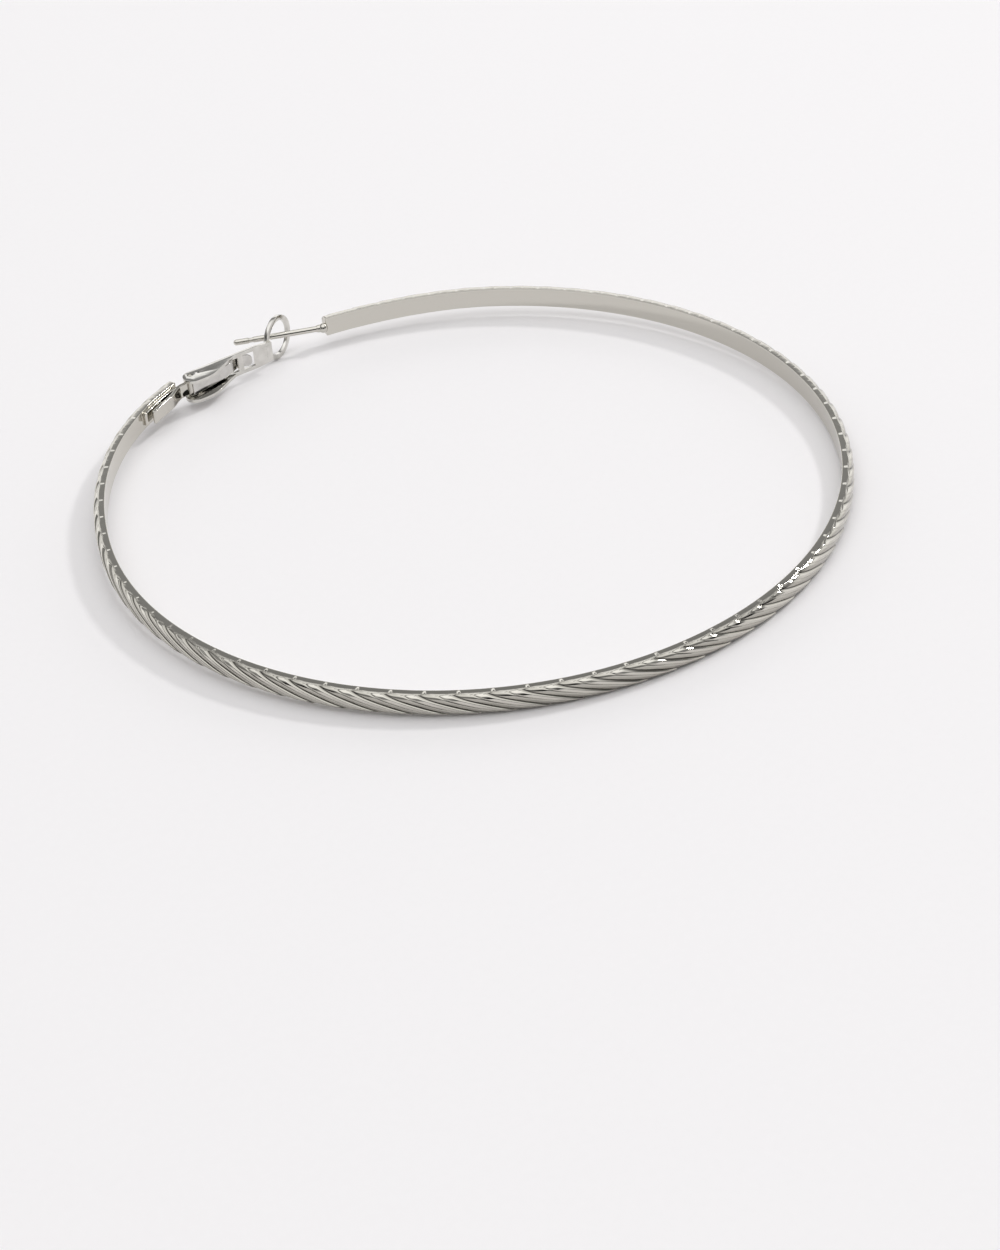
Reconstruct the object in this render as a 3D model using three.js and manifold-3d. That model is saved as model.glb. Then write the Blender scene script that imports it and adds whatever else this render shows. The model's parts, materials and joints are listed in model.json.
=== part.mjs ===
// A large hoop earring with a fluted band, a straight ear post and a hinged lever clasp whose eye closes
// over the post. Millimetres. The hoop lies on its side, with its axis almost upright.
import * as THREE from 'three';
import { mergeVertices } from 'three/addons/utils/BufferGeometryUtils.js';
import Module from 'manifold-3d';

const wasm = await Module();
wasm.setup();

// Band: a flat inner face, narrow flat edges and a domed outer face cut with slanting flutes.
const bandInnerRadius = 38.7;
const bandOuterRadius = 40;
const bandHeight = 2.3;
const bandFlatWidth = 0.9; // from the inner face to where the dome starts
const bandMiddle = bandHeight / 2;
const domeLevels = 6; // steps of the dome from one edge to the other
const fluteCount = 76;
const fluteDepth = 0.16;
const fluteSlant = 2; // flutes that one strand passes on its way from edge to edge
const stepsPerFlute = 4;

// The band stops short of a full turn, and both ends leave the true circle a little.
const postEndAngle = 81.6;
const claspEndAngle = 112.2;
const gapMiddleAngle = (postEndAngle + claspEndAngle) / 2;
const claspEndBend = { from: 160, to: 118, outward: 1.3 };
const postEndBend = { from: 52, to: 76, outward: -0.45 };

// Ear post with its solder bead and collar, and the catch groove near its round tip.
const postRadius = 0.35;
const postBase = new THREE.Vector2(5.08, 38.03);
const postTip = new THREE.Vector2(-4.55, 42.11);
const postRootDepth = 0.5; // how far the wire runs back into the bead
const postGroove = { fromTip: 1.7, width: 0.7, depth: 0.07 };
const collar = { radius: 0.45, length: 0.7 };
const beadRadius = 0.62;

// Hinge bracket: a strip folded into a hairpin, with a round knuckle at the fold's neck.
const hinge = new THREE.Vector2(-13.2, 36.9);
const bracketHeight = 1.6;
const outerLeaf = { radius: 39.84, from: 121.6, to: 114.4, thickness: 0.42 };
const innerLeaf = { radius: 39.1, from: 120.6, to: 115.2, thickness: 0.4 };
const neck = new THREE.Vector2(-14.9, 36.62);
const knuckleRadius = 0.6;
const knuckleHeight = 1.92;

// Lever: a stamped channel with two ears round the hinge, drawn out to the folded-up eye.
const leverWidth = 2.8;
const sheet = 0.35;
const webOuter = 0.85; // from the hinge axis out to the back of the web
const webStart = 0.75;
const earLobe = { along: 0.25, across: -0.4, radius: 1.25 };
const flangeEnd = 6.1;
const springSlot = { from: 5, to: 6.55, width: 1.75 };
const tipWindow = { from: 7.2, to: 8.75, width: 1.9 };
const dimple = { along: 1.08, across: -0.09, radius: 0.16 };
const eyeCentre = { along: 13.2, across: 2.93 };
const eyeOuterRadius = 2.65;
const eyeInnerRadius = 2.05;
const eyeThickness = 0.4;
const eyeFold = 28; // degrees from the lever's length to the plane of the eye
const webEnd = 11.1;
const webEndWidth = 2.4;
const eyeNeck = { width: 1.7, thickness: 0.4 }; // the short bend between the web and the eye

// Rivet and leaf spring.
const pinRadius = 0.3;
const pinLength = 2.7;
const pinGapInEar = 0.04;
const pinGapInKnuckle = 0.05;
const springWidth = 1.45;
const springThickness = 0.18;
const springGap = 0.1; // between the leaf and the web it threads through

const roundSides = 20;

// Lying down, the hoop rests on the foot of the eye and on the far lower edge of the band.
const eyeFoot = bandMiddle - eyeOuterRadius;
const flatOuterRadius = bandInnerRadius + bandFlatWidth;
const eyeDistance = hinge.y + eyeCentre.across;
const restTilt = Math.asin(-eyeFoot / (eyeDistance + flatOuterRadius));

const metal = (name, color, roughness) =>
  new THREE.MeshStandardMaterial({ name, color, roughness, metalness: 1 });
const plating = metal('bright plating', 0xc9c8c4, 0.12);
const leverPlating = metal('stamped plated sheet', 0xbfbdb8, 0.2);
const springSteel = metal('spring steel', 0xd2d0ca, 0.24);

// --- turning geometries into solids and back ---

function solidFrom(geometry) {
  geometry.deleteAttribute('normal');
  geometry.deleteAttribute('uv');
  const merged = mergeVertices(geometry, 1e-5);
  return new wasm.Manifold(new wasm.Mesh({
    numProp: 3,
    vertProperties: new Float32Array(merged.attributes.position.array),
    triVerts: new Uint32Array(merged.index.array),
  }));
}

function meshFrom(name, solid, material) {
  const { numProp, vertProperties, triVerts } = solid.getMesh();
  const geometry = new THREE.BufferGeometry();
  geometry.setAttribute('position', new THREE.BufferAttribute(vertProperties, numProp));
  geometry.setIndex(new THREE.BufferAttribute(triVerts, 1));
  const faceted = geometry.toNonIndexed();
  faceted.computeVertexNormals();
  const mesh = new THREE.Mesh(faceted, material);
  mesh.name = name;
  return mesh;
}

// --- small shape helpers ---

const radians = THREE.MathUtils.degToRad;

// A point of the plan, given by its distance from the hoop's centre and its angle in degrees.
function polar(radius, angle) {
  return new THREE.Vector2(radius * Math.cos(radians(angle)), radius * Math.sin(radians(angle)));
}

// An outline of the plan raised from one height to another.
function raised(shape, low, high) {
  const geometry = new THREE.ExtrudeGeometry(shape, {
    depth: high - low, bevelEnabled: false, curveSegments: roundSides / 2,
  });
  return geometry.translate(0, 0, low);
}

// An upright round bar.
function roundBar(radius, low, high, x = 0, y = 0) {
  const geometry = new THREE.CylinderGeometry(radius, radius, high - low, roundSides);
  return geometry.rotateX(Math.PI / 2).translate(x, y, (low + high) / 2);
}

// A block between two corners.
function block(lowX, lowY, lowZ, highX, highY, highZ) {
  const geometry = new THREE.BoxGeometry(highX - lowX, highY - lowY, highZ - lowZ);
  return geometry.translate((lowX + highX) / 2, (lowY + highY) / 2, (lowZ + highZ) / 2);
}

// The plan outline of a bent strip of even thickness that follows a smooth line through the points.
function stripOutline(points, thickness, steps) {
  const line = new THREE.SplineCurve(points);
  const sides = [[], []];
  for (let i = 0; i <= steps; i += 1) {
    const middle = line.getPointAt(i / steps);
    const tangent = line.getTangentAt(i / steps);
    const across = new THREE.Vector2(-tangent.y, tangent.x).multiplyScalar(thickness / 2);
    sides[0].push(middle.clone().add(across));
    sides[1].unshift(middle.clone().sub(across));
  }
  return new THREE.Shape([...sides[1], ...sides[0]]);
}

// --- the soldered hoop ---

// How far an end of the band has left the true circle at this angle in degrees.
function endBend(angle) {
  const bend = angle > gapMiddleAngle ? claspEndBend : postEndBend;
  const share = (bend.from - angle) / (bend.from - bend.to);
  return bend.outward * THREE.MathUtils.smoothstep(share, 0, 1);
}

// The band's section: distance from the hoop's axis, and height. The dome is part of an ellipse.
function bandSection() {
  const dome = bandOuterRadius - flatOuterRadius;
  const section = [new THREE.Vector2(bandInnerRadius, 0)];
  for (let level = 0; level <= domeLevels; level += 1) {
    const turn = Math.PI * level / domeLevels;
    section.push(new THREE.Vector2(
      flatOuterRadius + dome * Math.sin(turn),
      bandMiddle * (1 - Math.cos(turn)),
    ));
  }
  section.push(new THREE.Vector2(bandInnerRadius, bandHeight));
  section.push(section[0].clone());
  return section;
}

// Turned as a full ring. Its outer vertices are then slid round to follow the slant of the flutes, sunk by
// the depth of the flute, and the whole ring takes the bend of its two ends.
function band() {
  const ring = new THREE.LatheGeometry(bandSection(), fluteCount * stepsPerFlute);
  ring.rotateX(Math.PI / 2);
  const place = ring.attributes.position;
  const flutePitch = 2 * Math.PI / fluteCount;
  for (let i = 0; i < place.count; i += 1) {
    let radius = Math.hypot(place.getX(i), place.getY(i));
    let angle = Math.atan2(place.getY(i), place.getX(i));
    if (radius > bandInnerRadius + bandFlatWidth / 2) {
      radius -= fluteDepth * (0.5 - 0.5 * Math.cos(fluteCount * angle));
      angle -= fluteSlant * flutePitch * (place.getZ(i) / bandHeight - 0.5);
    }
    const degrees = (THREE.MathUtils.radToDeg(angle) + 360) % 360;
    radius += endBend(degrees);
    place.setX(i, radius * Math.cos(angle));
    place.setY(i, radius * Math.sin(angle));
  }
  return solidFrom(ring);
}

// The wedge that is missing between the band's two ends.
function gap() {
  const near = bandInnerRadius - 10;
  const far = bandOuterRadius + 10;
  const wedge = new THREE.Shape([
    polar(near, postEndAngle),
    polar(far, postEndAngle),
    polar(far, gapMiddleAngle),
    polar(far, claspEndAngle),
    polar(near, claspEndAngle),
  ]);
  return solidFrom(raised(wedge, -1, bandHeight + 1));
}

// The post is turned along its own axis, from its root in the bead to its round tip.
function post() {
  const run = postTip.clone().sub(postBase);
  const length = run.length() + postRootDepth;
  const grooveEnd = length - postGroove.fromTip;
  const grooveRadius = postRadius - postGroove.depth;
  const profile = [
    new THREE.Vector2(0, 0),
    new THREE.Vector2(collar.radius, 0),
    new THREE.Vector2(collar.radius, postRootDepth + collar.length - 0.1),
    new THREE.Vector2(postRadius, postRootDepth + collar.length),
    new THREE.Vector2(postRadius, grooveEnd - postGroove.width),
    new THREE.Vector2(grooveRadius, grooveEnd - postGroove.width * 0.7),
    new THREE.Vector2(grooveRadius, grooveEnd - postGroove.width * 0.3),
    new THREE.Vector2(postRadius, grooveEnd),
  ];
  for (let step = 0; step <= 3; step += 1) {
    const turn = (Math.PI / 2) * (step / 3);
    profile.push(new THREE.Vector2(
      step === 3 ? 0 : postRadius * Math.cos(turn),
      length - postRadius + postRadius * Math.sin(turn),
    ));
  }
  const wire = new THREE.LatheGeometry(profile, roundSides);
  wire.translate(0, -postRootDepth, 0);
  wire.rotateZ(Math.atan2(run.y, run.x) - Math.PI / 2);
  wire.translate(postBase.x, postBase.y, bandMiddle);
  return solidFrom(wire);
}

function solderBead() {
  const bead = new THREE.SphereGeometry(beadRadius, roundSides, roundSides / 2);
  return solidFrom(bead.translate(postBase.x + 0.1, postBase.y - 0.08, bandMiddle));
}

// One leaf of the bracket, from its free end to the knuckle.
function bracketLeaf(leaf, steps) {
  const middle = (leaf.from + leaf.to) / 2;
  const points = [
    polar(leaf.radius, leaf.from),
    polar(leaf.radius, middle),
    polar(leaf.radius, leaf.to),
    neck,
    hinge,
  ];
  const low = bandMiddle - bracketHeight / 2;
  return solidFrom(raised(stripOutline(points, leaf.thickness, steps), low, low + bracketHeight));
}

function bracket() {
  const low = bandMiddle - knuckleHeight / 2;
  const high = bandMiddle + knuckleHeight / 2;
  const bore = roundBar(pinRadius + pinGapInKnuckle, low - 1, high + 1, hinge.x, hinge.y);
  return bracketLeaf(outerLeaf, 18)
    .add(bracketLeaf(innerLeaf, 18))
    .add(solidFrom(roundBar(knuckleRadius, low, high, hinge.x, hinge.y)))
    .subtract(solidFrom(bore));
}

function hoop() {
  const soldered = band().subtract(gap()).add(post()).add(solderBead()).add(bracket());
  return meshFrom('hoop', soldered, plating);
}

// --- the clasp, drawn with its hinge axis at the origin, x along the lever and y out of the hoop ---

// The side flange: a round lobe at the hinge that runs out to nothing along the web.
function flangeOutline() {
  const webInner = webOuter - sheet;
  const lobeFoot = earLobe.across - earLobe.radius;
  const flange = new THREE.Shape();
  flange.moveTo(flangeEnd, webOuter);
  flange.lineTo(earLobe.along, webOuter);
  flange.absarc(earLobe.along, earLobe.across, earLobe.radius, Math.PI / 2, Math.PI * 1.5, false);
  flange.lineTo(earLobe.along + 1, lobeFoot);
  flange.bezierCurveTo(2.8, lobeFoot, 3.7, webInner - 1.1, flangeEnd, webInner);
  const rivetHole = { along: 0, across: 0, radius: pinRadius + pinGapInEar };
  for (const hole of [rivetHole, dimple]) {
    const circle = new THREE.Path();
    circle.absarc(hole.along, hole.across, hole.radius, 0, Math.PI * 2, true);
    flange.holes.push(circle);
  }
  return flange;
}

// The web keeps its full width past the flanges and narrows towards the eye.
function web() {
  const half = leverWidth / 2;
  const endHalf = webEndWidth / 2;
  const outline = new THREE.Shape([
    new THREE.Vector2(webStart, -half),
    new THREE.Vector2(tipWindow.to + 0.3, -half),
    new THREE.Vector2(webEnd, -endHalf),
    new THREE.Vector2(webEnd, endHalf),
    new THREE.Vector2(tipWindow.to + 0.3, half),
    new THREE.Vector2(webStart, half),
  ]);
  const plate = raised(outline, -webOuter, sheet - webOuter);
  return solidFrom(plate.rotateX(Math.PI / 2));
}

function webOpening(opening) {
  const half = opening.width / 2;
  return solidFrom(block(opening.from, 0, -half, opening.to, webOuter + 1, half));
}

// The eye stands away from the web: a short neck bends out of the web's end to the ring's near limb.
function eyeNeckBend() {
  const limb = (eyeOuterRadius + eyeInnerRadius) / 2;
  const limbAlong = eyeCentre.along - limb * Math.cos(radians(eyeFold));
  const limbAcross = eyeCentre.across - limb * Math.sin(radians(eyeFold));
  const webMiddle = webOuter - sheet / 2;
  const line = [
    new THREE.Vector2(webEnd - 0.75, webMiddle),
    new THREE.Vector2(webEnd - 0.2, webMiddle + 0.12),
    new THREE.Vector2(limbAlong - 0.02, (webMiddle + limbAcross) / 2),
    new THREE.Vector2(limbAlong, limbAcross),
  ];
  const outline = stripOutline(line, eyeNeck.thickness, 10);
  return solidFrom(raised(outline, -eyeNeck.width / 2, eyeNeck.width / 2));
}

// The eye is a flat ring whose own plane holds the hinge's direction.
function eye() {
  const ring = new THREE.Shape();
  ring.absarc(0, 0, eyeOuterRadius, 0, Math.PI * 2, false);
  const hole = new THREE.Path();
  hole.absarc(0, 0, eyeInnerRadius, 0, Math.PI * 2, true);
  ring.holes.push(hole);
  const plate = new THREE.ExtrudeGeometry(ring, {
    depth: eyeThickness, bevelEnabled: false, curveSegments: roundSides,
  });
  plate.translate(0, 0, -eyeThickness / 2);
  plate.rotateX(Math.PI / 2);
  plate.rotateZ(radians(eyeFold));
  plate.translate(eyeCentre.along, eyeCentre.across, 0);
  return solidFrom(plate);
}

function claspLever() {
  const half = leverWidth / 2;
  const solid = solidFrom(raised(flangeOutline(), -half, sheet - half))
    .add(solidFrom(raised(flangeOutline(), half - sheet, half)))
    .add(web())
    .subtract(webOpening(springSlot))
    .subtract(webOpening(tipWindow))
    .add(eyeNeckBend())
    .add(eye());
  return meshFrom('clasp_lever', solid, leverPlating);
}

// The leaf bears on the knuckle, lies inside the channel, passes out through the slot in the web and back
// in through the window, where its tip shows.
function claspSpring() {
  const outside = webOuter + springThickness / 2 + springGap;
  const inside = webOuter - sheet - springThickness / 2 - springGap;
  const slotMiddle = (springSlot.from + springSlot.to) / 2;
  const line = [
    new THREE.Vector2(-0.2, -knuckleRadius - 0.2),
    new THREE.Vector2(1.7, -0.62),
    new THREE.Vector2(3.6, -0.12),
    new THREE.Vector2(springSlot.from + 0.05, inside),
    new THREE.Vector2(slotMiddle, webOuter - sheet / 2),
    new THREE.Vector2(springSlot.to - 0.05, outside),
    new THREE.Vector2(tipWindow.from, outside),
    new THREE.Vector2(tipWindow.from + 0.7, webOuter - sheet / 2),
    new THREE.Vector2(tipWindow.from + 1.12, webOuter - sheet - 0.05),
  ];
  const outline = stripOutline(line, springThickness, 36);
  const leaf = raised(outline, -springWidth / 2, springWidth / 2);
  return meshFrom('clasp_spring', solidFrom(leaf), springSteel);
}

function hingePin() {
  return meshFrom('hinge_pin', solidFrom(roundBar(pinRadius, -pinLength / 2, pinLength / 2)), plating);
}

// --- the earring ---

const clasp = new THREE.Group();
clasp.name = 'clasp';
clasp.position.set(hinge.x, hinge.y, bandMiddle);
clasp.add(claspLever(), claspSpring(), hingePin());

const lyingHoop = new THREE.Group();
lyingHoop.name = 'lying_hoop';
lyingHoop.rotation.x = restTilt;
lyingHoop.add(hoop(), clasp);

// The origin is the middle of the earring's footprint, on the surface it lies on.
const earring = new THREE.Group();
earring.name = 'hoop_earring';
earring.add(lyingHoop);
const extent = new THREE.Box3().setFromObject(earring, true);
const footprint = extent.getCenter(new THREE.Vector3());
lyingHoop.position.set(-footprint.x, -footprint.y, -extent.min.z);

export default earring;
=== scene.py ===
import json
import bmesh
import bpy
import numpy as np
from mathutils import Matrix, Vector


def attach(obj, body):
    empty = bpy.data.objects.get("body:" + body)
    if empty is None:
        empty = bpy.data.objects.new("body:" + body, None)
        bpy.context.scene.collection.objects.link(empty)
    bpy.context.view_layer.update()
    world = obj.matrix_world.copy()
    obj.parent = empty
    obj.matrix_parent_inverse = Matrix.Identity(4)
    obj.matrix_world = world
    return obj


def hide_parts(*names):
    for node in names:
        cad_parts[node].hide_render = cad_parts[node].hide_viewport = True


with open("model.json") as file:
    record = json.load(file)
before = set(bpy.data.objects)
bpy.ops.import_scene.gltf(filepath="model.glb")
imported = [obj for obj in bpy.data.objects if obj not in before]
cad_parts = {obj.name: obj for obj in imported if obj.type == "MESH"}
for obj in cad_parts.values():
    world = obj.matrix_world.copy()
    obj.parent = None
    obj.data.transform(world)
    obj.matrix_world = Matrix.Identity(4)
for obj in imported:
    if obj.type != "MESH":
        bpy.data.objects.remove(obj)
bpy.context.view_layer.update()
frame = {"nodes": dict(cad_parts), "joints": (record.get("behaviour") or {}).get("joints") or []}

# Lengths below are in millimetres in the band's own plan: z along the hoop's axis from the band's lower
# edge, y from the hoop's centre to the eye of the clasp. The frame's one joint says where that plan lies.
mm = 0.001
leverJoint = frame["joints"][0]
planHinge = np.array([-13.2, 36.9, 1.15])  # the rivet's middle
planUp = np.array(leverJoint["axis"], float) / np.linalg.norm(leverJoint["axis"])
planRight = np.array([1.0, 0.0, 0.0])
planTurn = np.column_stack([planRight, np.cross(planUp, planRight), planUp])
planCentre = np.array(leverJoint["pos_m"]) / mm - planTurn @ planHinge


def toRow(points):
    # plan millimetres to the frame's metres
    return (np.asarray(points, float) @ planTurn.T + planCentre) * mm


def toLinear(hexColour):
    # sRGB hex to linear RGBA
    srgb = np.array([int(hexColour[i:i + 2], 16) for i in (1, 3, 5)]) / 255
    return (*np.where(srgb <= 0.04045, srgb / 12.92, ((srgb + 0.055) / 1.055) ** 2.4), 1.0)


def signedVolume(points, faces):
    # sum of the tetrahedra between the origin and each face, positive when the faces point out
    total = 0.0
    for size in {len(f) for f in faces}:
        ring = points[np.array([f for f in faces if len(f) == size])]
        for k in range(1, size - 1):
            total += np.einsum("ij,ij->i", ring[:, 0], np.cross(ring[:, k], ring[:, k + 1])).sum() / 6
    return total


def gridFaces(rows, columns, closeRows=False):
    # quads of a grid whose columns close on themselves
    lastRow = rows if closeRows else rows - 1
    i, j = np.meshgrid(np.arange(lastRow), np.arange(columns), indexing="ij")
    right = (j + 1) % columns
    below = (i + 1) % rows
    corners = [i * columns + j, i * columns + right, below * columns + right, below * columns + j]
    return np.stack(corners, -1).reshape(-1, 4).tolist()


def closedSurface(name, grid, closeRows=False, values=None):
    # a tube of rings: every ring joins the next, and the two end rings get a fan to their middle
    rows, columns = grid.shape[:2]
    points = grid.reshape(-1, 3)
    faces = gridFaces(rows, columns, closeRows)
    if not closeRows:
        ends = [grid[0].mean(0), grid[-1].mean(0)]
        points = np.vstack([points, ends])
        for ring, middle, turn in ((0, len(points) - 2, 1), (rows - 1, len(points) - 1, -1)):
            start = ring * columns
            a = start + np.arange(columns)
            b = start + (np.arange(columns) + 1) % columns
            fan = np.column_stack([np.full(columns, middle), b, a][::turn])
            faces += fan.tolist()
    return meshObject(name, points, faces, values)


def meshObject(name, points, faces, values=None):
    # a smooth-shaded object from plan points, its faces turned out, with named values for its vertices
    if signedVolume(points, faces) < 0:
        faces = [f[::-1] for f in faces]
    mesh = bpy.data.meshes.new(name)
    mesh.from_pydata(toRow(points), [], faces)
    mesh.polygons.foreach_set("use_smooth", np.ones(len(faces), bool))
    for label, data in (values or {}).items():
        column = np.zeros(len(points), np.float32)
        column[:data.size] = data.ravel()
        mesh.attributes.new(label, "FLOAT", "POINT").data.foreach_set("value", column)
    mesh.update()
    piece = bpy.data.objects.new(name, mesh)
    bpy.context.scene.collection.objects.link(piece)
    return piece


def polar(radius, degrees, height=0.0):
    # x = radius * cosine, y = radius * sine, and the height beside them
    turn = np.radians(degrees)
    return np.stack(np.broadcast_arrays(radius * np.cos(turn), radius * np.sin(turn), height), -1)


def smoothShare(value, start, stop):
    # 0 up to start, 1 from stop on, and between them three squares less two cubes of the share
    share = np.clip((value - start) / (stop - start), 0, 1)
    return share * share * (3 - 2 * share)


def cornerArc(corner, before, after, radius, count):
    # a quarter-like rounding of a corner: a quadratic curve from one side to the other, with a support
    # point a little further along each side so that the flats stay flat when shaded smooth
    corner, before, after = (np.array(p, float) for p in (corner, before, after))
    back = (before - corner) / np.linalg.norm(before - corner)
    on = (after - corner) / np.linalg.norm(after - corner)
    t = np.linspace(0, 1, count)[:, None]
    start, stop = corner + back * radius, corner + on * radius
    arc = (1 - t) ** 2 * start + 2 * t * (1 - t) * corner + t ** 2 * stop
    return np.vstack([corner + back * radius * 1.5, arc, corner + on * radius * 1.5])


def roundedLoop(corners, radius, count=4):
    # an outline whose corners are all rounded alike
    corners = [np.array(c, float) for c in corners]
    turns = [cornerArc(c, corners[i - 1], corners[(i + 1) % len(corners)], radius, count)
             for i, c in enumerate(corners)]
    return np.vstack(turns)


def smoothPath(points, count):
    # Catmull-Rom through the points, then spaced evenly along its length
    points = np.array(points, float)
    padded = np.vstack([2 * points[0] - points[1], points, 2 * points[-1] - points[-2]])
    t = np.linspace(0, 1, 24, endpoint=False)[:, None]
    runs = []
    for p0, p1, p2, p3 in zip(padded, padded[1:], padded[2:], padded[3:]):
        runs.append(0.5 * (2 * p1 + (p2 - p0) * t + (2 * p0 - 5 * p1 + 4 * p2 - p3) * t ** 2
                           + (3 * p1 - p0 - 3 * p2 + p3) * t ** 3))
    line = np.vstack(runs + [points[-1:]])
    along = np.concatenate([[0], np.cumsum(np.linalg.norm(np.diff(line, axis=0), axis=1))])
    even = np.linspace(0, along[-1], count)
    return np.column_stack([np.interp(even, along, line[:, k]) for k in range(line.shape[1])])


def sweepStrip(path, section, widths=None):
    # carries a section (across the strip, up) along a level path; widths scales its height row by row
    tangent = np.gradient(path, axis=0)
    tangent /= np.linalg.norm(tangent, axis=1)[:, None]
    across = np.column_stack([-tangent[:, 1], tangent[:, 0]])
    scale = np.ones(len(path)) if widths is None else widths
    plan = path[:, None, :] + across[:, None, :] * section[None, :, 0:1]
    height = scale[:, None] * section[None, :, 1]
    return np.dstack([plan, height])


def turned(profile, start, direction, sides=48):
    # a profile of (distance along, radius) turned about an axis in the plan
    direction = np.array(direction, float) / np.linalg.norm(direction)
    helper = np.array([0.0, 0, 1]) if abs(direction[2]) < 0.9 else np.array([1.0, 0, 0])
    side = np.cross(direction, helper)
    side /= np.linalg.norm(side)
    other = np.cross(direction, side)
    turn = np.linspace(0, 2 * np.pi, sides, endpoint=False)
    spoke = np.cos(turn)[:, None] * side + np.sin(turn)[:, None] * other
    along, radius = np.array(profile, float).T
    return np.array(start) + along[:, None, None] * direction + radius[:, None, None] * spoke[None]


# Angles are in degrees anticlockwise from +X, and the bends are (from, to, how far out). An end ring is
# (how far on, as a share of the rounding, and how far drawn in, as a share of the section).
band = {
    "innerRadius": 38.7, "outerRadius": 40.0, "height": 2.3, "flatWidth": 0.58, "edgeRound": 0.07,
    "shoulder": 3.2, "fluteFade": 0.4,  # superellipse power, and the reach from which flutes are full depth
    "from": 112.2, "to": 441.6, "endRound": 0.09, "endRings": [(0.35, 0.035), (0.56, 0.14)],
    "endStraight": 3.5,  # counted in flutes
    "flutes": 76, "slant": 2.0, "depth": 0.2, "perFlute": 28, "domeRows": 27,
    "claspBend": (160.0, 118.0, 1.3), "postBend": (412.0, 436.0, -0.45),
}
# One strand, in shares of its width and of the flute depth.
strand = {"crest": 0.87, "climbPower": 0.6, "creasePlace": 0.55, "creaseHalf": 0.08, "creaseDepth": 0.34,
          "creasePower": 1.4}


def endBend(degrees):
    # how far out each end has left the true circle: a smooth share of its own bend
    clasp, post = band["claspBend"], band["postBend"]
    return (clasp[2] * (1 - smoothShare(degrees, clasp[1], clasp[0]))
            + post[2] * smoothShare(degrees, post[0], post[1]))


def strandDepth(phase):
    # Depth below the crest across one strand, as a share: a nearly flat facet that climbs to its crest, a
    # steep fall into the next groove, and a second, shallower crease with a sharp bottom on the facet.
    p = np.mod(phase, 1.0)
    crest = strand["crest"]
    climb = 1 - np.sin(np.pi / 2 * np.clip(p / crest, 0, 1)) ** strand["climbPower"]
    fall = smoothShare(p, crest, 1.0)
    nearCrease = np.clip(1 - np.abs(p - strand["creasePlace"]) / strand["creaseHalf"], 0, 1)
    crease = strand["creaseDepth"] * nearCrease ** strand["creasePower"]
    return np.where(p < crest, climb + crease, fall)


def bandSection():
    # Once round the section: distance from the inner face, height, share of the flute depth. The fluted
    # side is a superellipse: reach = sqrt(1 - |t| ** shoulder), with t from -1 at one flat to 1 at the
    # other, and rows set closer near the flats.
    high, flat = band["height"], band["flatWidth"]
    dome = band["outerRadius"] - band["innerRadius"] - flat
    lowInner = cornerArc((0, 0), (flat, 0), (0, high), band["edgeRound"], 4)
    highInner = cornerArc((0, high), (0, 0), (flat, high), band["edgeRound"], 4)
    inner = np.column_stack([np.vstack([lowInner, highInner]), np.zeros(len(lowInner) * 2)])
    turn = np.linspace(-1, 1, band["domeRows"])
    t = np.sin(np.pi / 2 * turn * (1.15 - 0.15 * turn ** 2))
    reach = np.sqrt(1 - np.abs(t) ** band["shoulder"])
    share = np.clip(reach / band["fluteFade"], 0, 1)
    face = np.column_stack([flat + dome * reach, high / 2 * (1 - t), share])
    return np.vstack([inner, face])


def makeBand():
    # Radius = inner radius + bend of the ends + section - flute depth. The phase of the flutes grows with
    # the angle and with the height, which makes the strands slant; the columns slant with them except at
    # the two ends, where they straighten up to a square cut.
    section = bandSection()
    flutes = (band["to"] - band["from"]) / 360 * band["flutes"]
    columns = int(flutes * band["perFlute"])
    degrees = np.linspace(band["from"], band["to"], columns)[:, None]
    rise = section[None, :, 1] / band["height"] - 0.5
    pitch = 360 / band["flutes"]
    fromEnd = np.minimum(degrees - band["from"], band["to"] - degrees)
    lean = smoothShare(fromEnd, 0, band["endStraight"] * pitch) * section[None, :, 2]
    angle = degrees - band["slant"] * pitch * rise * lean
    phase = angle / pitch + band["slant"] * rise
    depth = strandDepth(phase) * section[None, :, 2]
    radius = band["innerRadius"] + endBend(angle) + section[None, :, 0] - band["depth"] * depth
    height = np.broadcast_to(section[None, :, 1], radius.shape)
    grid = polar(radius, angle, height)
    # both ends get a small rounding: two more rings, drawn in towards the middle of the section
    rings = [grid]
    for end, step in ((0, -1), (-1, 1)):
        ring = grid[end]
        middle = ring.mean(0)
        away = polar(1.0, degrees[end, 0] + 90 * step) * band["endRound"]
        for on, drawnIn in band["endRings"]:
            rings.append((ring + away * on + (middle - ring) * drawnIn)[None])
    grid = np.concatenate([rings[2], rings[1], rings[0], rings[3], rings[4]])
    depth = np.concatenate([depth[:1], depth[:1], depth, depth[-1:], depth[-1:]])
    # the groove depth rides on the vertices; the flutes' material paints shade into its base colour from it
    return closedSurface("fluted_band", grid, values={"groove": depth})


post = {
    "base": np.array([5.08, 38.03, 1.15]), "tip": np.array([-4.55, 42.11, 1.15]), "root": 0.5,
    "radius": 0.35, "collarRadius": 0.45, "collarTaper": (0.45, 0.8), "grooveFromTip": 1.7,
    "grooveWidth": 0.7, "grooveDepth": 0.07, "beadRadius": 0.6, "beadShift": [0.1, -0.08, 0],
    "beadShape": [0.96, 1, 1],
}


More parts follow.
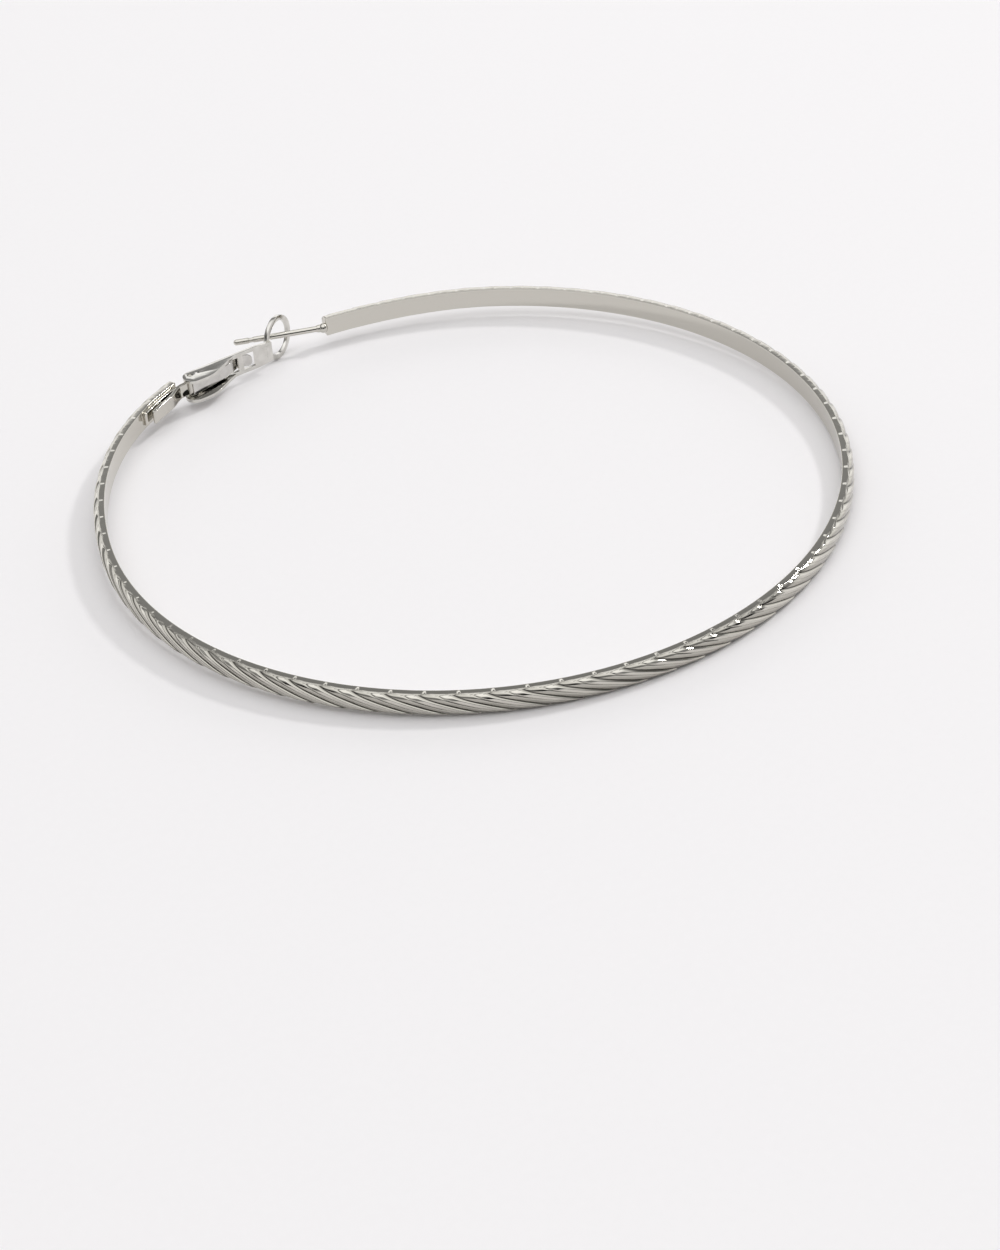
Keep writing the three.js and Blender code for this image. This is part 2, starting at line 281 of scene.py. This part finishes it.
def makePost():
    # distance along and radius: collar, straight wire, shallow catch groove, half-round tip
    run = post["tip"] - post["base"]
    length = np.linalg.norm(run)
    r, collar = post["radius"], post["collarRadius"]
    grooveEnd = length - post["grooveFromTip"]
    groove = np.linspace(grooveEnd - post["grooveWidth"], grooveEnd, 13)
    tip = length - r + r * np.sin(np.linspace(0, 1.52, 9))
    s = np.concatenate([[-post["root"], 0.2], np.linspace(*post["collarTaper"], 6), [1.0, 4.0, 7.0],
                        groove, [grooveEnd + 0.15, length - r - 0.1], tip])
    radius = collar + (r - collar) * smoothShare(s, *post["collarTaper"])
    dip = np.clip((s - grooveEnd) / post["grooveWidth"] + 1, 0, 1)
    radius -= post["grooveDepth"] * np.sin(np.pi * dip) ** 0.7
    past = np.clip((s - (length - r)) / r, 0, 1)
    radius *= np.sqrt(np.clip(1 - past ** 2, 0.0005, 1))
    return closedSurface("ear_post", turned(np.column_stack([s, radius]), post["base"], run))


def makeBead():
    # a sphere a little shorter along x, its radius waving softly with both angles
    u = np.linspace(0.02, np.pi - 0.02, 30)[:, None]
    v = np.linspace(0, 2 * np.pi, 40, endpoint=False)[None, :]
    lump = 1 + 0.035 * np.sin(3 * v + 1.2) * np.sin(u) ** 2 + 0.03 * np.cos(2 * u + v)
    ball = np.stack(np.broadcast_arrays(np.sin(u) * np.cos(v), np.sin(u) * np.sin(v), np.cos(u)), -1)
    middle = post["base"] + post["beadShift"]
    ball = ball * lump[..., None] * post["beadRadius"] * post["beadShape"]
    return closedSurface("solder_bead", middle + ball)


# A leaf is (radius of its middle, angle of its free end, angle where it leaves the band, thickness).
bracket = {
    "height": 1.6, "outer": (39.84, 121.6, 114.4, 0.42), "inner": (39.1, 120.6, 115.2, 0.4),
    "neck": (-14.9, 36.62), "knuckleRadius": 0.6, "knuckleHeight": 1.92, "bore": 0.35, "round": 0.09,
    "knuckleRound": 0.06, "nose": 0.16, "rows": 90,
}


def bracketLeaf(name, leaf):
    # A rounded strip along the band's curve and through the neck to the rivet. Its free end is nosed: the
    # first rows shrink like a quarter circle.
    radius, start, stop, thick = leaf
    rows = bracket["rows"]
    middle = (start + stop) / 2
    ends = [polar(radius, a)[:2] for a in (start, middle, stop)]
    path = smoothPath(ends + [bracket["neck"], planHinge[:2]], rows)
    half = bracket["height"] / 2
    corners = [(-thick / 2, -half), (thick / 2, -half), (thick / 2, half), (-thick / 2, half)]
    section = roundedLoop(corners, bracket["round"])
    along = np.linspace(0, 1, rows) * np.linalg.norm(np.diff(path, axis=0), axis=1).sum()
    nose = np.sqrt(np.clip(1 - np.clip(1 - along / bracket["nose"], 0, 0.98) ** 2, 0, 1))
    grid = sweepStrip(path, section)
    centre = np.dstack([path[:, None, :], np.zeros((rows, 1, 1))])
    keep = np.stack([nose, nose, 1 - (1 - nose) * 0.12], -1)[:, None, :]
    return closedSurface(name, centre + (grid - centre) * keep + [0, 0, band["height"] / 2])


def makeKnuckle():
    # a short round barrel with rounded rims, closed on itself round its bore
    r, bore, half = bracket["knuckleRadius"], bracket["bore"], bracket["knuckleHeight"] / 2
    corners = [(-half, bore), (-half, r), (half, r), (half, bore)]
    loop = roundedLoop(corners, bracket["knuckleRound"])
    rings = turned(loop, planHinge, (0, 0, 1), 64)
    return closedSurface("hinge_knuckle", rings, closeRows=True)


print("shapes of the hoop")
fluted = makeBand()
fixedPieces = [fluted, makePost(), makeBead(), bracketLeaf("bracket_outer_leaf", bracket["outer"]),
               bracketLeaf("bracket_inner_leaf", bracket["inner"]), makeKnuckle()]
for piece in fixedPieces:
    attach(piece, "hoop")
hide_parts("hoop")

# The stamped lever keeps the frame's shape, and gains the small roundings of pressed sheet metal.
leverSheet = {"edge": 0.05, "segments": 3, "weld": 0.002, "flatWithin": 0.6, "sharpOver": 32}


def roundedCopy(name, node, settings):
    # a merged copy of the node with its flat faces whole again, then a narrow bevel on every sharp edge
    mesh = frame["nodes"][node].data.copy()
    work = bmesh.new()
    work.from_mesh(mesh)
    bmesh.ops.remove_doubles(work, verts=work.verts, dist=settings["weld"] * mm)
    bmesh.ops.dissolve_limit(work, angle_limit=np.radians(settings["flatWithin"]),
                             verts=work.verts, edges=work.edges)
    work.to_mesh(mesh)
    work.free()
    mesh.materials.clear()
    mesh.polygons.foreach_set("use_smooth", np.ones(len(mesh.polygons), bool))
    piece = bpy.data.objects.new(name, mesh)
    bpy.context.scene.collection.objects.link(piece)
    bevel = piece.modifiers.new("edges", "BEVEL")
    bevel.width = settings["edge"] * mm
    bevel.segments = settings["segments"]
    bevel.limit_method = "ANGLE"
    bevel.angle_limit = np.radians(settings["sharpOver"])
    bevel.harden_normals = True
    return piece


# The line is x and y from the rivet, with y away from the hoop's centre.
leafSpring = {
    "line": [(-0.2, -0.79), (1.7, -0.5), (3.6, -0.04), (5.05, 0.31), (5.78, 0.675), (6.5, 1.04),
             (7.2, 1.04), (7.9, 0.675), (8.32, 0.45)],
    "width": 1.45, "thickness": 0.18, "round": 0.05, "tip": 0.5, "rows": 120,
}


def makeLeafSpring():
    # a rounded strip carried along its bent line; the last rows narrow like an ellipse to a round tip
    rows = leafSpring["rows"]
    path = planHinge[:2] + smoothPath(leafSpring["line"], rows)
    half, thick = leafSpring["width"] / 2, leafSpring["thickness"] / 2
    corners = [(-thick, -half), (thick, -half), (thick, half), (-thick, half)]
    section = roundedLoop(corners, leafSpring["round"])
    length = np.linalg.norm(np.diff(path, axis=0), axis=1).sum()
    toEnd = length * (1 - np.linspace(0, 1, rows))
    narrow = np.sqrt(np.clip(1 - np.clip(1 - toEnd / leafSpring["tip"], 0, 0.96) ** 2, 0, 1))
    grid = sweepStrip(path, section, narrow)
    return closedSurface("leaf_spring", grid + [0, 0, planHinge[2]])


rivet = {"radius": 0.3, "length": 2.7, "round": 0.05, "dish": 0.05}


def makeRivet():
    # a round pin whose ends are shallow dishes with a rounded lip
    r, half, lip, dish = rivet["radius"], rivet["length"] / 2, rivet["round"], rivet["dish"]
    end = [(half - dish, 0.02), (half - dish, r * 0.35), (half - dish * 0.4, r * 0.6),
           (half - dish * 0.1, r * 0.74), (half, r * 0.82),
           (half - lip * 0.3, r - lip * 0.3), (half - lip, r)]
    profile = [(-a, b) for a, b in end] + [(a, b) for a, b in reversed(end)]
    return closedSurface("rivet_body", turned(profile, planHinge, (0, 0, 1)))


print("shapes of the clasp")
leverPieces = {"clasp_lever": roundedCopy("lever_sheet", "clasp_lever", leverSheet),
               "clasp_spring": makeLeafSpring(), "hinge_pin": makeRivet()}
for node, piece in leverPieces.items():
    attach(piece, "lever")
    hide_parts(node)


def addNode(tree, kind, settings=None, links=None):
    # A node with its settings and what its inputs are linked to. A setting is a property, a socket by name
    # or number, or a colour ramp's stops as (place, grey or colour).
    node = tree.nodes.new(kind)
    for key, value in (settings or {}).items():
        if key == "stops":
            elements = node.color_ramp.elements
            while len(elements) < len(value):
                elements.new(0.5)
            for element, (place, colour) in zip(elements, value):
                element.position = place
                element.color = colour if isinstance(colour, tuple) else (colour, colour, colour, 1)
        elif isinstance(key, str) and hasattr(node, key):
            setattr(node, key, value)
        else:
            node.inputs[key].default_value = value
    for key, source in (links or {}).items():
        tree.links.new(source, node.inputs[key])
    return node


def newMaterial(name, settings):
    # a material whose uniform settings sit on the shader's own sockets
    material = bpy.data.materials.new(name)
    material.use_nodes = True
    tree = material.node_tree
    shader = tree.nodes["Principled BSDF"]
    for key, value in settings.items():
        shader.inputs[key].default_value = value
    place = addNode(tree, "ShaderNodeTexCoord")
    return material, tree, shader, place


# Imitation rhodium over polished brass: nearly mirror bright, a warm white, with a faint swell from
# tumbling that ripples reflections, hairlines from handling (drawn coarser than real ones so that they
# show) and a film that dulls it in patches. On the flutes the base colour holds painted shade: a painted
# grey on the facets and a painted near-black towards the groove bottoms, graded by groove depth.
brightPlating = {
    # the facet colour and the groove-bottom colour are painted shade, not the plating's own colour
    "colour": "#CFCCC4", "film": "#CBC8C1", "facet": "#B4B1A9", "grooveShadePainted": "#42403C",
    "roughness": (0.03, 0.10), "filmSize": 3.2, "filmRange": (0.35, 0.7), "swellSize": 0.9,
    "swellDepth": 0.008, "hairSize": 0.06, "hairDepth": 0.0004,
}


def makeBrightPlating(name, paintGrooveShade):
    m = brightPlating
    material, tree, shader, place = newMaterial(name, {"Metallic": 1.0})
    film = addNode(tree, "ShaderNodeTexNoise", {"Scale": 1 / (m["filmSize"] * mm), "Detail": 4.0},
                   {"Vector": place.outputs["Object"]})
    clean, dulled = m["filmRange"]
    smoothest, roughest = m["roughness"]
    rough = addNode(tree, "ShaderNodeMapRange",
                    {"From Min": clean, "From Max": dulled, "To Min": smoothest, "To Max": roughest},
                    {"Value": film.outputs["Fac"]})
    tree.links.new(rough.outputs["Result"], shader.inputs["Roughness"])
    bright, dull, facet, grooveShadePainted = (toLinear(m[k]) for k in ("colour", "film", "facet", "grooveShadePainted"))
    if paintGrooveShade:
        # groove depth grades the base colour: bright crests, a painted grey on the facets, painted dark
        # shade at the groove bottoms
        source = addNode(tree, "ShaderNodeAttribute", {"attribute_name": "groove"})
        stops = [(0.02, bright), (0.3, facet), (0.55, facet), (0.95, grooveShadePainted)]
    else:
        source, stops = film, [(0.3, bright), (0.8, dull)]
    colour = addNode(tree, "ShaderNodeValToRGB", {"stops": stops}, {"Fac": source.outputs["Fac"]})
    tree.links.new(colour.outputs["Color"], shader.inputs["Base Color"])
    swell = addNode(tree, "ShaderNodeTexNoise", {"Scale": 1 / (m["swellSize"] * mm), "Detail": 1.0},
                    {"Vector": place.outputs["Object"]})
    swellBump = addNode(tree, "ShaderNodeBump", {"Strength": 1.0, "Distance": m["swellDepth"] * mm},
                        {"Height": swell.outputs["Fac"]})
    hair = addNode(tree, "ShaderNodeTexNoise", {"Scale": 1 / (m["hairSize"] * mm), "Detail": 2.0},
                   {"Vector": place.outputs["Object"]})
    hairBump = addNode(tree, "ShaderNodeBump", {"Strength": 1.0, "Distance": m["hairDepth"] * mm},
                       {"Height": hair.outputs["Fac"], "Normal": swellBump.outputs["Normal"]})
    tree.links.new(hairBump.outputs["Normal"], shader.inputs["Normal"])
    return material


# Stamped steel sheet, plated as it left the press: a bright satin, with the faint lines of rolling along
# its length (drawn coarser than real ones so that they show) and duller patches.
leverPlating = {"colour": "#DAD8D3", "dull": "#C6C4BE", "roughness": (0.07, 0.15), "lineWidth": 0.09,
                "lineLength": 2.5, "lineDepth": 0.0009, "patchSize": 0.9,
                "patchRange": (0.3, 0.7)}


def makeSatinPlating(name, m):
    material, tree, shader, place = newMaterial(name, {"Metallic": 1.0})
    lengthwise, crosswise = 1 / (m["lineLength"] * mm), 1 / (m["lineWidth"] * mm)
    stretch = addNode(tree, "ShaderNodeMapping", {"Scale": (lengthwise, crosswise, crosswise)},
                      {"Vector": place.outputs["Object"]})
    lines = addNode(tree, "ShaderNodeTexNoise", {"Scale": 1.0, "Detail": 3.0},
                    {"Vector": stretch.outputs["Vector"]})
    patches = addNode(tree, "ShaderNodeTexNoise", {"Scale": 1 / (m["patchSize"] * mm), "Detail": 3.0},
                      {"Vector": place.outputs["Object"]})
    clean, dulled = m["patchRange"]
    smoothest, roughest = m["roughness"]
    rough = addNode(tree, "ShaderNodeMapRange",
                    {"From Min": clean, "From Max": dulled, "To Min": smoothest, "To Max": roughest},
                    {"Value": patches.outputs["Fac"]})
    tree.links.new(rough.outputs["Result"], shader.inputs["Roughness"])
    stops = [(0.35, toLinear(m["colour"])), (0.75, toLinear(m["dull"]))]
    colour = addNode(tree, "ShaderNodeValToRGB", {"stops": stops}, {"Fac": patches.outputs["Fac"]})
    tree.links.new(colour.outputs["Color"], shader.inputs["Base Color"])
    bump = addNode(tree, "ShaderNodeBump", {"Strength": 1.0, "Distance": m["lineDepth"] * mm},
                   {"Height": lines.outputs["Fac"]})
    tree.links.new(bump.outputs["Normal"], shader.inputs["Normal"])
    return material


# Spring steel strip under the same plating: a little greyer than the lever, with finer rolling lines.
springSteel = {"colour": "#D6D4D0", "dull": "#C0BEBA", "roughness": (0.08, 0.16), "lineWidth": 0.08,
               "lineLength": 3.0, "lineDepth": 0.0007, "patchSize": 1.0,
               "patchRange": (0.3, 0.7)}

print("materials")
# the flutes' material has painted groove shade in its base colour
fluteMaterial = makeBrightPlating("polished_plating_painted_groove_shade", True)
smoothMaterial = makeBrightPlating("polished_plating", False)
leverMaterial = makeSatinPlating("satin_plated_stamping", leverPlating)
springMaterial = makeSatinPlating("plated_spring_steel", springSteel)
fluted.data.materials.append(fluteMaterial)
for piece in fixedPieces[1:] + [leverPieces["hinge_pin"]]:
    piece.data.materials.append(smoothMaterial)
leverPieces["clasp_lever"].data.materials.append(leverMaterial)
leverPieces["clasp_spring"].data.materials.append(springMaterial)

# The view: turned about the hoop's axis, raised above its plan and rolled, all in degrees and in the band's
# own plan. The aim shifts it sideways and upwards.
camera = {"turn": -32.68, "rise": 35.82, "roll": -4.886, "distance": 275.9, "aimRight": 2.76,
          "aimUp": -14.85, "lens": 74.88, "film": 36.0}


def makeCamera():
    # level, upright and back are the axes before the roll, which mixes the first two
    turn, rise, roll = (np.radians(camera[k]) for k in ("turn", "rise", "roll"))
    level = np.array([np.cos(turn), np.sin(turn), 0])
    back = np.array([np.sin(turn) * np.cos(rise), -np.cos(turn) * np.cos(rise), np.sin(rise)])
    upright = np.cross(back, level)
    right = np.cos(roll) * level + np.sin(roll) * upright
    up = np.cos(roll) * upright - np.sin(roll) * level
    place = back * camera["distance"] + right * camera["aimRight"] + up * camera["aimUp"]
    axes = planTurn @ np.column_stack([right, up, back])
    data = bpy.data.cameras.new("view")
    data.sensor_width = camera["film"]
    data.lens = camera["lens"]
    data.clip_start, data.clip_end = 0.01, 50
    seat = bpy.data.objects.new("view", data)
    seat.matrix_world = Matrix.Translation(Vector(toRow(place))) @ Matrix(axes.tolist()).to_4x4()
    bpy.context.scene.collection.objects.link(seat)
    bpy.context.scene.camera = seat
    return axes[:, 2]


backward = makeCamera()

# A pale floor of matt card, its half width in metres.
floorCard = {"light": "#F5F3F4", "dark": "#F3F1F2", "half": 6.0, "grain": 0.8, "roughness": 0.9,
             "gloss": 0.2}
half = floorCard["half"]
floorMesh = bpy.data.meshes.new("floor")
floorCorners = [(-half, -half, 0), (half, -half, 0), (half, half, 0), (-half, half, 0)]
floorMesh.from_pydata(floorCorners, [], [(0, 1, 2, 3)])
floor = bpy.data.objects.new("floor", floorMesh)
bpy.context.scene.collection.objects.link(floor)
floorMaterial, floorTree, floorShader, floorPlace = newMaterial("matt_card", {
    "Roughness": floorCard["roughness"], "Specular IOR Level": floorCard["gloss"]})
grain = addNode(floorTree, "ShaderNodeTexNoise", {"Scale": 1 / (floorCard["grain"] * mm)},
                {"Vector": floorPlace.outputs["Object"]})
cardStops = [(0, toLinear(floorCard["light"])), (1, toLinear(floorCard["dark"]))]
card = addNode(floorTree, "ShaderNodeValToRGB", {"stops": cardStops}, {"Fac": grain.outputs["Fac"]})
floorTree.links.new(card.outputs["Color"], floorShader.inputs["Base Color"])
floorMesh.materials.append(floorMaterial)

# The studio: a pale room, a back wall that is bright low down and grey above, three dark upright screens
# at the front and to either side, and one soft lamp behind on the right. Wall and room are (sine of the
# height, light), screens (heading, half width) in degrees, and the lamp's reach and size are in metres.
studio = {
    "wall": [(0.0, 1.15), (0.466, 1.2), (0.51, 0.32), (0.68, 0.24), (0.80, 0.95), (1.0, 1.35)],
    "room": [(0.0, 0.5), (0.3, 0.25), (0.62, 0.3), (0.78, 1.25), (1.0, 1.35)],
    "screens": [(-4.0, 17.0), (58.0, 9.0), (-70.0, 12.0)], "screenShade": 0.015,
    "screenCore": 0.7, "screenTop": (0.4, 0.55), "wallFrom": -0.1, "wallTo": 0.25,
    "strength": 1.03, "backdrop": (0.92, 0.91, 0.915, 1),
    "lampTurn": 58.0, "lampRise": 41.0, "lampReach": 1.6, "lampSize": 0.22, "lampWatts": 6.2,
}


def makeWorld():
    # Each direction's light is a grey by its height, blended from the room's to the back wall's as it turns
    # away from the front, then darkened inside each screen. The camera itself sees a plain pale wall.
    world = bpy.data.worlds.new("studio")
    world.use_nodes = True
    bpy.context.scene.world = world
    tree = world.node_tree
    tree.nodes.clear()
    where = addNode(tree, "ShaderNodeTexCoord")
    parts = addNode(tree, "ShaderNodeSeparateXYZ", links={"Vector": where.outputs["Generated"]})
    away = -backward[:2] / np.linalg.norm(backward[:2])
    aside = np.array([away[1], -away[0]])

    def along(direction):
        # the view direction's level part measured along a level direction
        x = addNode(tree, "ShaderNodeMath", {"operation": "MULTIPLY", 1: direction[0]},
                    {0: parts.outputs["X"]})
        return addNode(tree, "ShaderNodeMath", {"operation": "MULTIPLY_ADD", 1: direction[1]},
                       {0: parts.outputs["Y"], 2: x.outputs[0]}).outputs[0]

    forward, sideways = along(away), along(aside)
    wall, room = (addNode(tree, "ShaderNodeValToRGB", {"stops": studio[side]}, {"Fac": parts.outputs["Z"]})
                  for side in ("wall", "room"))
    share = addNode(tree, "ShaderNodeMapRange",
                    {"From Min": studio["wallFrom"], "From Max": studio["wallTo"]}, {"Value": forward})
    light = addNode(tree, "ShaderNodeMix", {"data_type": "RGBA"}, {0: share.outputs["Result"],
                    6: room.outputs["Color"], 7: wall.outputs["Color"]}).outputs[2]
    near, left = (addNode(tree, "ShaderNodeMath", {"operation": "MULTIPLY", 1: -1.0}, {0: level}).outputs[0]
                  for level in (forward, sideways))
    heading = addNode(tree, "ShaderNodeMath", {"operation": "ARCTAN2"}, {0: left, 1: near})
    full, none = studio["screenTop"]
    low = addNode(tree, "ShaderNodeMapRange", {"From Min": none, "From Max": full},
                  {"Value": parts.outputs["Z"]})
    shade = studio["screenShade"]
    for middle, width in studio["screens"]:
        # a soft-edged dark upright screen at a heading measured from the front of the studio
        edge, core = np.radians(width), np.radians(width * studio["screenCore"])
        offset = addNode(tree, "ShaderNodeMath", {"operation": "SUBTRACT", 1: float(np.radians(middle))},
                         {0: heading.outputs[0]})
        size = addNode(tree, "ShaderNodeMath", {"operation": "ABSOLUTE"}, {0: offset.outputs[0]})
        cover = addNode(tree, "ShaderNodeMapRange", {"From Min": float(edge), "From Max": float(core)},
                        {"Value": size.outputs[0]})
        both = addNode(tree, "ShaderNodeMath", {"operation": "MULTIPLY"},
                       {0: cover.outputs["Result"], 1: low.outputs["Result"]})
        light = addNode(tree, "ShaderNodeMix", {"data_type": "RGBA", 7: (shade, shade, shade, 1)},
                        {0: both.outputs[0], 6: light}).outputs[2]
    background = addNode(tree, "ShaderNodeBackground", {"Strength": studio["strength"]}, {"Color": light})
    plain = addNode(tree, "ShaderNodeBackground", {"Color": studio["backdrop"]})
    ray = addNode(tree, "ShaderNodeLightPath")
    chosen = addNode(tree, "ShaderNodeMixShader", links={0: ray.outputs["Is Camera Ray"],
                     1: background.outputs[0], 2: plain.outputs[0]})
    addNode(tree, "ShaderNodeOutputWorld", links={"Surface": chosen.outputs[0]})
    return away, aside


def makeLamp(away, aside):
    # a round lamp at its heading and height, facing the frame's origin
    turn, rise = np.radians(studio["lampTurn"]), np.radians(studio["lampRise"])
    level = np.cos(turn) * away + np.sin(turn) * aside
    toward = Vector((*(level * np.cos(rise)), np.sin(rise)))
    data = bpy.data.lights.new("lamp", "AREA")
    data.shape = "DISK"
    data.size = studio["lampSize"]
    data.energy = studio["lampWatts"]
    lamp = bpy.data.objects.new("lamp", data)
    lamp.location = toward * studio["lampReach"]
    lamp.rotation_euler = toward.to_track_quat("Z", "Y").to_euler()
    bpy.context.scene.collection.objects.link(lamp)


print("studio")
makeLamp(*makeWorld())
bpy.context.scene.view_settings.view_transform = "Standard"
bpy.context.scene.view_settings.look = "None"
